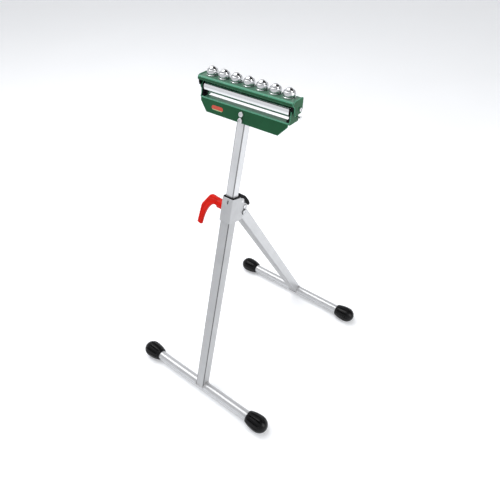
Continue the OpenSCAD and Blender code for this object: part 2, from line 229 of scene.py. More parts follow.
def enamel(name):
    """Dark green enamel on steel: orange peel, painted light on top faces and round edges, rubbed spots."""
    f = Finish(name, Coat_Weight=0.10, Coat_Roughness=0.12, Specular_IOR_Level=0.16)
    peel = f.noise(420, 3)
    cloud = f.noise(18, 4)
    specks = f.noise(1500, 2)
    tone = f.mix(f.spread(cloud, 0, 1), (0.006, 0.068, 0.025, 1), (0.009, 0.090, 0.034, 1))
    # Painted light: faces turned up get a paler green
    tone = f.mix(f.spread(f.upward(), 0, 0.42, 0.72, 0.98), tone, (0.13, 0.27, 0.20, 1))
    # Painted highlight: rounded edges and folds get a paler green
    tone = f.mix(f.maths("MULTIPLY", f.edges(), 0.75), tone, (0.10, 0.36, 0.23, 1))
    tone = f.mix(f.worn(0.58, 0.7), tone, (0.30, 0.36, 0.33, 1))
    rough = f.maths("ADD", f.spread(cloud, 0.26, 0.36), f.spread(specks, -0.02, 0.03))
    normal = f.bump(specks, 0.04, 0.0002, f.bump(peel, 0.10, 0.0005))
    return f.set(Base_Color=tone, Roughness=rough, Normal=normal)


def moulded(name, dark, light, worn, rough, grain, spec):
    """Moulded plastic or rubber: fine grain, uneven sheen, paler where handled."""
    f = Finish(name, Specular_IOR_Level=spec)
    fine = f.noise(1400, 3)
    cloud = f.noise(45, 4)
    tone = f.mix(f.spread(cloud, 0, 1), dark + (1,), light + (1,))
    tone = f.mix(f.worn(0.5, 0.7), tone, worn + (1,))
    shine = f.maths("ADD", f.spread(cloud, rough - 0.05, rough + 0.06), f.spread(fine, -0.03, 0.03))
    return f.set(Base_Color=tone, Roughness=shine, Normal=f.bump(fine, grain, 0.0004))


def weld_metal():
    """Weld bead: ripples, heat tint and a dull skin."""
    f = Finish("weld_metal", Metallic=0.7)
    heat = f.noise(160, 4)
    fine = f.noise(1600, 3)
    tone = f.mix(f.spread(heat, 0, 1), (0.33, 0.31, 0.30, 1), (0.55, 0.55, 0.57, 1))
    rough = f.spread(fine, 0.38, 0.6)
    return f.set(Base_Color=tone, Roughness=rough, Normal=f.bump(fine, 0.3, 0.0004))


def label_print():
    """Plain two-colour label: a red field with a pale line under it."""
    f = Finish("label_print", Coat_Weight=0.3)
    split = f.node("ShaderNodeSeparateXYZ")
    f.put(f.place, split.inputs[0])
    height = split.outputs["Z"]
    grain = f.noise(700, 3)
    red = f.mix(f.spread(grain, 0, 1), (0.48, 0.042, 0.020, 1), (0.62, 0.066, 0.032, 1))
    pale = f.mix(f.spread(grain, 0, 1), (0.36, 0.46, 0.20, 1), (0.48, 0.56, 0.30, 1))
    rise = (ROLLER_UP - 39.8) * math.cos(LEAN) - PLATE_FACE * math.sin(LEAN)
    low = f.maths("LESS_THAN", height, (FOOT_Z + rise) * 0.001)
    tone = f.mix(low, red, pale)
    rough = f.spread(grain, 0.25, 0.4)
    return f.set(Base_Color=tone, Roughness=rough, Normal=f.bump(grain, 0.05, 0.0002))


def pale_floor():
    """Smooth pale floor with a faint glow of its own."""
    f = Finish("pale_floor")
    cloud = f.noise(3, 3)
    fine = f.noise(220, 2)
    tone = f.mix(f.spread(cloud, 0, 1), grey(0.88), grey(0.92))
    f.set(Emission_Color=grey(0.98), Emission_Strength=0.24)
    rough = f.spread(cloud, 0.55, 0.7)
    return f.set(Base_Color=tone, Roughness=rough, Normal=f.bump(fine, 0.02, 0.0005))


STREAK = (700, 700, 9)
ZINC_POST = zinc_tube("zinc_post", (LEAN, 0, 0), STREAK, 0.47)
ZINC_LEG = zinc_tube("zinc_leg", (-LEG_LEAN, 0, 0), STREAK, 0.58, line=0.2)
ZINC_FOOT = zinc_tube("zinc_foot", (0, 0, 0), (9, 700, 700), 0.56, 0.6)
ZINC_SHEET = zinc_tube("zinc_sheet", (LEAN, 0, 0), (260, 260, 40), 0.49)
ZINC_INNER = zinc_tube("zinc_inner", (LEAN, 0, 0), STREAK, 0.74, 0.92)
GREEN = enamel("green_enamel")
CHROME = bright_metal("ball_chrome", 0.62, 0.11, 0.01)
CUP = bright_metal("cup_steel", 0.66, 0.16, 0.04)
ROLLER = bright_metal("roller_steel", 0.80, 0.06, 0.03, (900, 12, 12))
BOLT = bright_metal("bolt_zinc", 0.74, 0.24, 0.12)
SPRING = bright_metal("spring_wire", 0.50, 0.30, 0.10)
RUBBER = moulded("cap_rubber", (0.004, 0.004, 0.0045), (0.006, 0.006, 0.0065), (0.02, 0.02, 0.02),
                 rough=0.26, grain=0.14, spec=0.16)
BLACK = moulded("black_nylon", (0.003, 0.003, 0.0035), (0.006, 0.006, 0.007), (0.012, 0.012, 0.012),
                rough=0.42, grain=0.12, spec=0.05)
RED = moulded("red_nylon", (0.62, 0.008, 0.003), (0.76, 0.014, 0.004), (0.78, 0.07, 0.04),
              rough=0.36, grain=0.06, spec=0.10)
WELD = weld_metal()
LABEL = label_print()


# ---------------------------------------------------------------- mesh tools

def arc(cx, cy, r, a0, a1, n=6):
    """Points of an arc, in degrees."""
    steps = [math.radians(a0 + (a1 - a0) * i / n) for i in range(n + 1)]
    return [(cx + r * math.cos(a), cy + r * math.sin(a)) for a in steps]


def curve(a, b, c, n=10):
    """Points of a quadratic curve from a to c, drawn towards b."""
    out = []
    for i in range(n + 1):
        t = i / n
        out.append(tuple((1 - t) ** 2 * p + 2 * t * (1 - t) * q + t * t * s for p, q, s in zip(a, b, c)))
    return out


def rounded(w, h, r, n=5):
    """Outline of a rectangle with round corners, centred."""
    x, y = w / 2 - r, h / 2 - r
    corners = ((x, y, 0), (-x, y, 90), (-x, -y, 180), (x, -y, 270))
    return [point for cx, cy, turn in corners for point in arc(cx, cy, r, turn, turn + 90, n)]


def level(outline, z):
    """An outline of (x, y) points, laid at height z."""
    return [(x, y, z) for x, y in outline]


def loft(rings, closed=False):
    """Skins rings of equal length, each a loop of points. Closed joins the last to the first."""
    bm = bmesh.new()
    rows = [[bm.verts.new(p) for p in ring] for ring in rings]
    n = len(rows[0])
    pairs = list(zip(rows, rows[1:])) + ([(rows[-1], rows[0])] if closed else [])
    for a, b in pairs:
        for i in range(n):
            bm.faces.new((a[i], a[(i + 1) % n], b[(i + 1) % n], b[i]))
    if not closed:
        bm.faces.new(rows[0][::-1])
        bm.faces.new(rows[-1])
    return bm


def lathe(profile, n=64, shape=None):
    """Turns (radius, height) points about Z. Points on the axis close it; shape(angle, r, z) reshapes it."""
    bm = bmesh.new()
    rows = []
    for r, z in profile:
        if r < 1e-6:
            rows.append([bm.verts.new((0, 0, z))])
            continue
        row = []
        for i in range(n):
            a = math.tau * i / n
            rr = shape(a, r, z) if shape else r
            row.append(bm.verts.new((rr * math.cos(a), rr * math.sin(a), z)))
        rows.append(row)
    for a, b in zip(rows, rows[1:]):
        for i in range(n):
            j = (i + 1) % n
            loop = [a[i], a[j], b[j], b[i]] if len(a) > 1 and len(b) > 1 else (
                [a[0], b[j], b[i]] if len(a) == 1 else [a[i], a[j], b[0]])
            bm.faces.new(loop)
    return bm


def ring(profile, n=64):
    """Turns a closed (radius, height) outline about Z."""
    rings = []
    for i in range(n):
        a = math.tau * i / n
        rings.append([(r * math.cos(a), r * math.sin(a), z) for r, z in profile])
    return loft(rings, closed=True)


def plate(outline, low, high):
    """Extrudes an outline of (y, z) points along X, from low to high."""
    return loft([[(x, y, z) for y, z in outline] for x in (low, high)])


def flat_reach(half, angle):
    """How far out the side of a hexagon lies at an angle, from half its width across the flats."""
    return half / math.cos((angle % (math.pi / 3)) - math.pi / 6)


def hexagon(across, low, high):
    """A hexagonal head or nut about Z, its top corners chamfered."""
    r = across / math.sqrt(3)
    tall = [(low, r), (high - 0.48, r), (high, across / 2 * 0.93)]
    rings = []
    for z, radius in tall:
        pts = []
        for i in range(24):
            a = math.tau * i / 24
            rr = min(flat_reach(across / 2, a), radius)
            pts.append((rr * math.cos(a), rr * math.sin(a), z))
        rings.append(pts)
    return loft(rings)


def hexagonal(bm, beyond, half, spare):
    """Presses a nut's round outside, past radius beyond, to six flats with corners cut back to spare."""
    for v in bm.verts:
        r = math.hypot(v.co.x, v.co.y)
        if r > beyond:
            k = min(flat_reach(half, math.atan2(v.co.y, v.co.x)), r + spare) / r
            v.co.x, v.co.y = v.co.x * k, v.co.y * k
    return bm


def paint(faces, layer, value):
    """Writes a value on the corners of the faces, in a colour layer that the materials read."""
    for face in faces:
        for corner in face.loops:
            corner[layer] = (value, value, value, 1)


def soften(bm, width, segments):
    """Rounds the sharp edges, and marks the round faces so that the materials can wear them, and the enamel
    paints a highlight on them.
    """
    layer = bm.loops.layers.float_color.get("edge")
    if layer is None:
        layer = bm.loops.layers.float_color.new("edge")
        paint(bm.faces, layer, 0)
    bmesh.ops.recalc_face_normals(bm, faces=bm.faces)
    if width <= 0:
        return bm
    least = math.radians(32)
    sharp = [e for e in bm.edges if len(e.link_faces) == 2 and e.calc_face_angle(0) > least]
    made = bmesh.ops.bevel(bm, geom=sharp, offset=width, offset_type="OFFSET", segments=segments,
                           profile=0.5, affect="EDGES", clamp_overlap=True)
    paint(made["faces"], layer, 1)
    return bm


def piece(bm, name, material, body, nodes=(), place=Matrix(), width=0.0, segments=2):
    """Makes a piece from a mesh in millimetres, puts it in its place and hangs it on a body."""
    soften(bm, width, segments)
    bm.transform(place @ Matrix.Scale(0.001, 4))
    mesh = bpy.data.meshes.new(name)
    bm.to_mesh(mesh)
    bm.free()
    mesh.shade_smooth()
    mesh.set_sharp_from_angle(angle=math.radians(38))
    obj = bpy.data.objects.new(name, mesh)
    bpy.context.scene.collection.objects.link(obj)
    mesh.materials.append(material)
    if width > 0:
        even = obj.modifiers.new("even", "WEIGHTED_NORMAL")
        even.keep_sharp = True
    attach(obj, body)
    if nodes:
        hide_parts(*nodes)
    return obj


def path_tube(points, radius, closed=False, n=10, ripple=None):
    """A round bead or wire along points. ripple(i) scales its radius."""
    pts = [Vector(p) for p in points]
    count = len(pts)
    rings = []
    side = None
    for i, p in enumerate(pts):
        before = pts[i - 1] if (i or closed) else p
        after = pts[(i + 1) % count] if (i < count - 1 or closed) else p
        forward = (after - before).normalized()
        if side is None:
            side = forward.orthogonal().normalized()
        side = (side - forward * side.dot(forward)).normalized()
        up = forward.cross(side)
        r = radius * (ripple(i) if ripple else 1)
        angles = [math.tau * k / n for k in range(n)]
        rings.append([p + (side * math.cos(a) + up * math.sin(a)) * r for a in angles])
    return loft(rings, closed=closed)


# ---------------------------------------------------------------- feet

def foot_tube(name, sign, body, node):
    """A round tube across the stand, at the front (sign -1) or the rear (sign 1)."""
    out = FOOT_R
    bm = ring([(out, -FOOT_HALF), (out, -60), (out, 60), (out, FOOT_HALF),
               (out - WALL, FOOT_HALF), (out - WALL, -FOOT_HALF)], 72)
    piece(bm, name, ZINC_FOOT, body, [node], at(0, sign * FOOT_Y, FOOT_Z) @ RIGHT, 0.4)


def foot_weld(name, place, body):
    """The bead round the joint of a post and its foot tube, in ripples."""
    half, steps = POST_HALF + 0.2, 26
    loop = []
    for way in (1, -1):
        sweep = [way * (2 * half * i / steps - half) for i in range(steps)]
        loop += [(way * half, y, math.sqrt(max(half ** 2 - y ** 2, 0.0)) + 0.2) for y in sweep]
        loop += [(-x, way * half, 0.8) for x in sweep]
    bm = path_tube(loop, 1.5, closed=True, ripple=lambda i: 0.82 + 0.28 * abs(math.sin(i * 1.1)))
    piece(bm, name, WELD, body, place=place)


def foot_cap(name, side, sign, body):
    """A moulded rubber cap: long grooved tail towards the tube, round nose, flat where it stands."""
    big, tail, nose = 22.5, 36.0, 24.0
    start = -tail
    profile = [(FOOT_R + 0.05, start), (14.2, start), (15.9, start + 0.5)]
    for i in range(1, 30):
        s = start + 0.8 + (tail - 0.8) * i / 30
        profile.append((big * math.sqrt(1 - (s / (tail * 1.44)) ** 2), s))
    for i in range(25):
        a = math.radians(90 * i / 24)
        profile.append((big * math.cos(a), nose * math.sin(a)))
    profile[-1] = (0.0, nose)

    def grooved(a, r, z):
        """Twelve lengthwise grooves that fade out before the nose and the tail's rim."""
        if r < 14 and z < 0:
            return r
        fade = min(1.0, max(0.0, (z - start - 4) / 5)) * min(1.0, max(0.0, (13 - z) / 9))
        wave = abs(math.cos(6 * a))
        cut = max(0.0, 1 - wave / 0.5) ** 0.8
        return r - 2.8 * fade * cut

    bm = lathe(profile, 192, shape=grooved)
    turn = Matrix.Rotation(side * math.pi / 2, 4, "Y")
    place = at(side * (FOOT_HALF - 10), sign * FOOT_Y, FOOT_Z) @ turn
    # The tread: everything below the floor line is pressed flat, in the cap's own frame
    down = turn.inverted() @ Vector((0, 0, -1))
    for v in bm.verts:
        depth = v.co.dot(down)
        if depth > FOOT_Z:
            v.co -= down * (depth - FOOT_Z)
    node = ("front" if sign < 0 else "rear") + ("_cap_left" if side < 0 else "_cap_right")
    piece(bm, name, RUBBER, body, [node], place)


foot_tube("foot_tube_front", -1, "frame", "front_foot_tube")
foot_tube("foot_tube_rear", 1, "rear_leg", "rear_foot_tube")
foot_weld("weld_front", POST, "frame")
foot_weld("weld_rear", LEG, "rear_leg")
for side, hand in SIDES:
    foot_cap("cap_front_" + hand, side, -1, "frame")
    foot_cap("cap_rear_" + hand, side, 1, "rear_leg")


# ---------------------------------------------------------------- posts and leg

def square_tube(half, low, high, saddle=False):
    """Square tube with rolled corners. Its lower end may be cut to sit on a foot tube."""
    outer = rounded(2 * half, 2 * half, 2.0, 6)
    inner = rounded(2 * (half - WALL), 2 * (half - WALL), 0.8, 6)

    def foot(y):
        return math.sqrt(max(half ** 2 - y ** 2, 0.0)) - 0.6 if saddle else low
    bays = 8
    steps = [low + (high - low) * i / bays for i in range(1, bays)]
    rings = [[(x, y, foot(y)) for x, y in outer]]
    rings += [level(outer, z) for z in steps + [high]]
    rings += [level(inner, z) for z in [high] + steps[::-1]]
    rings += [[(x, y, foot(y)) for x, y in inner]]
    bm = loft(rings, closed=True)
    # Marks the rolled corners outside, six faces of each seven round the tube, for a painted shade line
    layer = bm.loops.layers.float_color.new("corner")
    count = len(outer)
    for i, face in enumerate(bm.faces):
        paint([face], layer, 1 if i < bays * count and i % count % 7 < 6 else 0)
    return bm


def cut(obj, cutter):
    """Cuts the cutter's shape out of the piece and discards the cutter."""
    mod = obj.modifiers.new("cut", "BOOLEAN")
    mod.operation = "DIFFERENCE"
    mod.solver = "EXACT"
    mod.object = cutter
    depsgraph = bpy.context.evaluated_depsgraph_get()
    made = bpy.data.meshes.new_from_object(obj.evaluated_get(depsgraph), depsgraph=depsgraph)
    obj.modifiers.remove(mod)
    old = obj.data
    obj.data = made
    bpy.data.meshes.remove(old)
    bpy.data.objects.remove(cutter)


def tool(bm, place):
    """A cutter, placed."""
    bmesh.ops.recalc_face_normals(bm, faces=bm.faces)
    bm.transform(place @ Matrix.Scale(0.001, 4))
    mesh = bpy.data.meshes.new("cutter")
    bm.to_mesh(mesh)
    bm.free()
    obj = bpy.data.objects.new("cutter", mesh)
    bpy.context.scene.collection.objects.link(obj)
    return obj


piece(square_tube(POST_HALF, 4, COLLAR_TOP - 1, saddle=True), "post_outer", ZINC_POST, "frame",
      ["outer_post"], POST, 0.35)
piece(square_tube(SLIDE_HALF, SLIDE_LOW, SLIDE_TOP), "post_inner", ZINC_INNER, "slide",
      ["inner_post"], POST, 0.35)

leg = piece(square_tube(POST_HALF, 4, LEG_LEN + LEG_OVER, saddle=True), "leg_tube", ZINC_LEG, "rear_leg",
            ["rear_leg_tube"], LEG, 0.35)
# The window that the stop pin moves through as the leg folds
fold = math.degrees(LEAN + LEG_LEAN)
window = arc(0, 0, 9.7, 104.5, 75.5 - fold, 12) + arc(0, 0, 40, 75.5 - fold, 104.5, 8)
cut(leg, tool(plate(window, -30, 30), LEG @ at(0, 0, LEG_LEN)))


def collar():
    """Sheet sleeve round the post's top, with two ears that carry the leg and the latch."""
    outer = rounded(30, 30, 3.2, 7)
    inner = rounded(25.1, 25.1, 2.0, 7)
    rings = [level(outer, z) for z in (COLLAR_LOW, COLLAR_TOP)]
    rings += [level(inner, z) for z in (COLLAR_TOP, COLLAR_LOW)]
    sleeve = piece(loft(rings, closed=True), "collar_sleeve", ZINC_SHEET, "frame", ["collar"], POST, 0.7, 3)
    slot = loft([[(x, y, z) for x, z in rounded(3, 9, 1.4, 4)] for y in (-20, -5)])
    cut(sleeve, tool(slot, POST @ at(2, 0, TAB_UP)))
    ear = [(11, COLLAR_LOW + 1), (28, COLLAR_LOW)]
    ear += arc(*PIVOT, 9.5, -60, 0) + arc(*STOP_PIN, 8.5, 0, 70) + [(31, LATCH[1] - 7)]
    ear += arc(*LATCH, 6.5, 0, 80) + [(11, COLLAR_TOP - 1)]
    for side, hand in SIDES:
        piece(plate(ear, *span(side, COLLAR_EAR_X)), "collar_ear_" + hand, ZINC_SHEET, "frame", place=POST,
              width=0.6, segments=3)


collar()


def sleeve_flange():
    """The guide sleeve's rim round the inner post, with its snap tab in the collar's slot."""
    low, seat, top = COLLAR_TOP - 40, COLLAR_TOP + 0.05, COLLAR_TOP + 2.2
    rim, bore, skirt = (rounded(w, w, r, 6) for w, r in ((28, 3.0), (20.3, 2.1), (22, 1.5)))
    rings = [level(rim, seat), level(rim, top), level(bore, top), level(bore, low)]
    rings += [level(skirt, low), level(skirt, seat)]
    piece(loft(rings, closed=True), "sleeve", BLACK, "frame", ["guide_sleeve"], POST, 0.5)
    tab = loft([[(x, y, z) for x, z in rounded(2.6, 8.4, 1.2, 4)] for y in (-13.6, -11)])
    piece(tab, "sleeve_tab", BLACK, "frame", place=POST @ at(2, 0, TAB_UP), width=0.4)


sleeve_flange()


def bolt_head(across, tall):
    """A round socket head about Z with a soft rim and a hexagonal recess."""
    r, six, deep = across / 2, across * 0.28, tall * 0.5
    profile = [(0, deep), (six, deep), (six, tall - 0.25), (six + 0.35, tall), (r - 0.8, tall),
               (r - 0.25, tall - 0.25), (r, tall - 0.8), (r, 0.3), (r - 0.3, 0), (0, 0)]

    def recess(a, rr, z):
        return rr if rr > six + 0.5 else flat_reach(rr * math.cos(math.pi / 6), a)

    return lathe(profile, 48, recess)


def rivet(r, tall):
    """A domed rivet head about Z."""
    rim = tall * 0.25
    dome = [math.radians(a) for a in (15, 35, 55, 75)]
    profile = [(r * math.cos(a), rim + (tall - rim) * math.sin(a)) for a in dome]
    return lathe([(0, 0), (r, 0), (r, rim)] + profile + [(0, tall)], 32)


def bar(r, low, high, n=32):
    """A plain round bar about Z."""
    return lathe([(0, low), (r, low), (r, high), (0, high)], n)


def shank(r, low, high):
    """A bolt's shank about Z, its end chamfered, with a few turns of thread."""
    profile = [(0, low), (r, low)]
    turns = max(2, int(min(high - low, 8) / 1.0))
    top = high - 0.8
    for i in range(turns):
        z = top - turns + i
        if z > low:
            profile += [(r, z), (r - 0.35, z + 0.5)]
    profile += [(r, top), (r - 0.7, high), (0, high)]
    return lathe(profile, 40)


def fixings():
    """Pivot bolt, stop pin and latch pin across the collar's ears."""
    face = COLLAR_EAR_X[1]
    pivot, stop, pin = (POST @ at(0, *spot) for spot in (PIVOT, STOP_PIN, LATCH))
    piece(bolt_head(11, 3.2), "pivot_bolt_head", BOLT, "frame", ["leg_pivot_bolt"],
          pivot @ at(15.4, 0, 0) @ RIGHT, 0.15)
    piece(shank(3, -15, 20), "pivot_bolt_shank", BOLT, "frame", place=pivot @ LEFT)
    piece(hexagon(10, face, 20.0), "pivot_nut", BOLT, "frame", ["leg_pivot_nut"], pivot @ LEFT, 0.25)
    for hand, turn in (("right", RIGHT), ("left", LEFT)):
        first = hand == "right"
        piece(rivet(4.6, 2.0), "stop_pin_" + hand, BOLT, "frame", ["leg_stop_pin"] if first else [],
              stop @ turn @ at(0, 0, face))
        piece(rivet(3.0, 1.2), "latch_pin_" + hand, BOLT, "frame", ["latch_pin"] if first else [],
              pin @ turn @ at(0, 0, face))
    # Black rings under the pivot bolt head and the stop pin head: dark sheets put there as painted shadow
    # round each head
    for name, spot, r in (("pivot_shadow_washer", pivot, 6.9), ("stop_shadow_washer", stop, 5.6)):
        washer = ring([(2.9, 15.0), (r, 15.0), (r, 15.5), (2.9, 15.5)], 40)
        piece(washer, name, BLACK, "frame", place=spot @ RIGHT, width=0.1)
    for name, spot, r in (("stop_pin_bar", stop, 3), ("latch_pin_bar", pin, 2)):
        piece(bar(r, -15, 15), name, BOLT, "frame", place=spot @ RIGHT)
    coil = []
    turns, points, wide = 5, 20, 2.95
    for i in range(turns * points + 1):
        a = math.tau * i / points
        coil.append((6.7 + 4.6 * i / (turns * points), wide * math.cos(a), wide * math.sin(a)))
    tail = [(11.3, wide + 1.4 * k, 0.15 * k) for k in range(1, 4)]
    piece(path_tube(coil + tail, 0.42, n=8), "latch_coil", SPRING, "frame", ["latch_spring"], pin)


fixings()


def latch():
    """Moulded catch above the leg: boss, tooth and a bent finger tab with grip bars."""
    up = LATCH[1]
    tooth = [(26, -3.5), (31, -1), (34, -8.5), (39, -5)]
    tab = [(42.5, -6), (56, -18.5), (63, -23), (67.5, -19.5), (62, -10.5), (45, 4.5)]
    outline = arc(LATCH[0], up, 5, 130, 250)
    outline += [(y, up + rise) for y, rise in tooth + tab + [(25, 14), (20.5, 13.5)]]
    piece(plate(outline, -6, 6), "latch_body", BLACK, "latch", ["leg_latch"], POST, 0.9, 3)
    start, end = Vector((50.0, up + 0.1)), Vector((61.0, up - 9.6))
    for i in range(4):
        spot = start.lerp(end, i / 3)
        grip = path_tube([(x, spot.x, spot.y) for x in (-4.6, 0, 4.6)], 0.7, n=8)
        piece(grip, "latch_grip_%d" % (i + 1), BLACK, "latch", place=POST)


latch()


# ---------------------------------------------------------------- clamp

def along(points, t):
    """The point a share t of the way along a line of points."""
    lengths = [math.dist(a, b) for a, b in zip(points, points[1:])]
    goal = t * sum(lengths)
    for (a, b), size in zip(zip(points, points[1:]), lengths):
        if goal <= size or b == points[-1]:
            k = goal / size
            return Vector((a[0] + (b[0] - a[0]) * k, a[1] + (b[1] - a[1]) * k))
        goal -= size


def clamp():
    """Moulded hooked lever on the clamp screw. Its faces carry a shallow channel between raised rims."""
    drop = LEVER_DROP
    upper = [(-22, 10.4), (-36, 11.6)] + curve((-50, 13.4), (-56, 14.4), (-59.5, 10.2), 5)
    upper += curve((-77, -14.7), (-79, -17), (-79.3, -20), 5) + [(-85.5, 3 - drop)]
    lower = [(-22, -9.2), (-34, -7.4)] + curve((-42, -6.2), (-67, -14), (-73.5, -drop), 16)
    rings = []
    steps = 46
    for i in range(steps + 1):
        t = i / steps
        top, low = along(upper, t), along(lower, t)
        across = low - top
        half = 5.4 - 0.5 * t
        sunk = 1.3 * min(1, i / 5, (steps - i) / 4)
        # One face from its top edge to its bottom edge, as (share of the height, depth below the rims)
        face = [(0.0, 2.0), (0.05, 0.9), (0.13, 0.1), (0.2, 0.0), (0.27, 0.15), (0.31, sunk),
                (0.69, sunk), (0.73, 0.15), (0.8, 0.0), (0.87, 0.1), (0.95, 0.9), (1.0, 2.0)]
        section = [(k, -half + deep) for k, deep in face]
        section += [(k, -y) for k, y in section[::-1]]
        rings.append([(top.x + across.x * k, y, top.y + across.y * k) for k, y in section])
    place = POST @ at(0, 0, CLAMP_UP)
    arm = piece(loft(rings), "lever_arm", RED, "clamp", ["clamp_lever"], place)
    arm.data.set_sharp_from_angle(angle=math.radians(60))
    hub = ring([(8.4, -15.8), (10.4, -15.8), (11, -16.4), (11, -31.6), (10.2, -32.4), (7.7, -32.4),
                (7.7, -27.2), (4.1, -27.2), (4.1, -21.2), (8.4, -21.2)], 64)
    piece(hub, "lever_hub", RED, "clamp", place=place @ RIGHT, width=0.25)
    for i in range(5):
        t = 0.66 + 0.065 * i
        top, low = along(upper, t), along(lower, t)
        spot = top - (top - low).normalized() * 0.15
        rib = path_tube([(spot.x, y, spot.y) for y in (-3.6, -1.8, 0, 1.8, 3.6)], 0.75, n=8)
        piece(rib, "lever_grip_%d" % (i + 1), RED, "clamp", place=place)
    piece(hexagon(13, 27.1, 31.8), "clamp_screw_head", BOLT, "clamp", ["clamp_screw"], place @ LEFT, 0.3)
    piece(shank(4, 12.2, 27.2), "clamp_screw_shank", BOLT, "clamp", place=place @ LEFT)
    nut = ring([(4.06, 15.1), (7.0, 15.1), (7.0, 19.6), (6.4, 20.4), (4.06, 20.4)], 48)
    piece(hexagonal(nut, 5, 6.5, 0.4), "clamp_nut_v", BOLT, "frame", ["clamp_nut"], place @ LEFT, 0.2)


clamp()


# ---------------------------------------------------------------- head

def folded(path, halves, bend):
    """Sheet folded along X: path is its outer face in (y, z), halves the half widths at each point.

    The sheet lies to the right of the path's direction, and its folds are round."""
    outer, widths, round_part = [], [], []
    count = len(path)
    for i, p in enumerate(path):
        if 0 < i < count - 1:
            a, c = Vector(path[i - 1]), Vector(path[i + 1])
            b = Vector(p)
            u, v = (a - b).normalized(), (c - b).normalized()
            turn = math.pi - u.angle(v)
            if turn > 0.2:
                reach = bend * math.tan(turn / 2)
                start, stop = b + u * reach, b + v * reach
                mid = (u + v).normalized()
                centre = b + mid * (bend / math.cos(turn / 2))
                a0 = math.atan2(*(start - centre).yx)
                a1 = math.atan2(*(stop - centre).yx)
                while a1 - a0 > math.pi:
                    a1 -= math.tau
                while a1 - a0 < -math.pi:
                    a1 += math.tau
                for k in range(7):
                    a = a0 + (a1 - a0) * k / 6
                    outer.append((centre.x + bend * math.cos(a), centre.y + bend * math.sin(a)))
                    widths.append(halves[i])
                    round_part.append(k < 6)
                continue
        outer.append(tuple(p))
        widths.append(halves[i])
        round_part.append(False)
    inner = []
    for i, p in enumerate(outer):
        a = Vector(outer[max(i - 1, 0)])
        c = Vector(outer[min(i + 1, len(outer) - 1)])
        d = (c - a).normalized()
        inner.append((p[0] + d.y * SHEET, p[1] - d.x * SHEET))
    bm = bmesh.new()
    rows = [[bm.verts.new((s * w, y, z)) for (y, z), w in zip(pts, widths)]
            for s, pts in ((-1, outer), (1, outer), (1, inner), (-1, inner))]
    # Round folds are marked for the enamel's wear and its painted highlight
    layer = bm.loops.layers.float_color.new("edge")
    for a, b in zip(rows, rows[1:] + rows[:1]):
        for i in range(len(outer) - 1):
            paint([bm.faces.new((a[i], b[i], b[i + 1], a[i + 1]))], layer, 1 if round_part[i] else 0)
    for i in (0, len(outer) - 1):
        bm.faces.new([row[i] for row in (rows if i else rows[::-1])])
    return bm


def up_post(behind, height):
    """A point of the post's frame, as (y, z) from the roller's axis."""
    rise = height - ROLLER_UP
    return (behind * math.cos(LEAN) + rise * math.sin(LEAN),
            rise * math.cos(LEAN) - behind * math.sin(LEAN))


def saddle():
    """Folded sheet under the roller: slanted front plate, narrow ledge and two end ears."""
    top = ROLLER_UP + (LEDGE_Z + PLATE_FACE * math.sin(LEAN)) / math.cos(LEAN)
    path = [up_post(PLATE_FACE, top - down) for down in (PLATE_H, 8, 0)] + [(LEDGE_BACK, LEDGE_Z)]
    bm = folded(path, [*PLATE_X, PLATE_X[-1]], 2.6)
    piece(bm, "saddle_sheet", GREEN, "slide", ["saddle"], HEAD, 0.5)
    ear = arc(*FLIP, 6.3, 0, 80, 8) + arc(0, 0, 12.5, 90, 180, 12) + [(-15, -14), (-17.6, LEDGE_Z)]
    ear += arc(-13.5, -19, 3.8, 180, 270, 5) + arc(11.5, -19.8, 3, 270, 360, 5) + [(13, -10)]
    for side, hand in SIDES:
        piece(plate(ear, *span(side, EAR_X)), "saddle_ear_" + hand, GREEN, "slide", place=HEAD,
              width=0.55, segments=3)
    for i, up in enumerate((ROLLER_UP - 33, ROLLER_UP - 45), 1):
        spot = POST @ at(0, 0, up)
        name = "saddle_bolt_%d" % i
        piece(bolt_head(10.6, 3.5), name, BOLT, "slide", ["saddle_bolts"] if i == 1 else [],
              spot @ at(0, PLATE_FACE, 0) @ FRONT, 0.15)
        piece(shank(3, 10, 16.9), name + "_end", BOLT, "slide", place=spot @ BACK)
        piece(hexagon(10, 10.05, 15.5), "saddle_nut_%d" % i, BOLT, "slide",
              ["saddle_nuts"] if i == 1 else [], spot @ BACK, 0.25)


saddle()


def label():
    """A thin sticker, its rim pressed down."""
    shape, inset = rounded(30, 9, 4.4, 8), rounded(29.4, 8.4, 4.1, 8)
    layers = ((shape, 0), (shape, -0.22), (inset, -0.3))
    rings = [[(x, y, z) for x, z in outline] for outline, y in layers]
    place = POST @ at(-62.5, PLATE_FACE, LABEL_UP)
    piece(loft(rings), "sticker", LABEL, "slide", ["front_sticker"], place)


label()


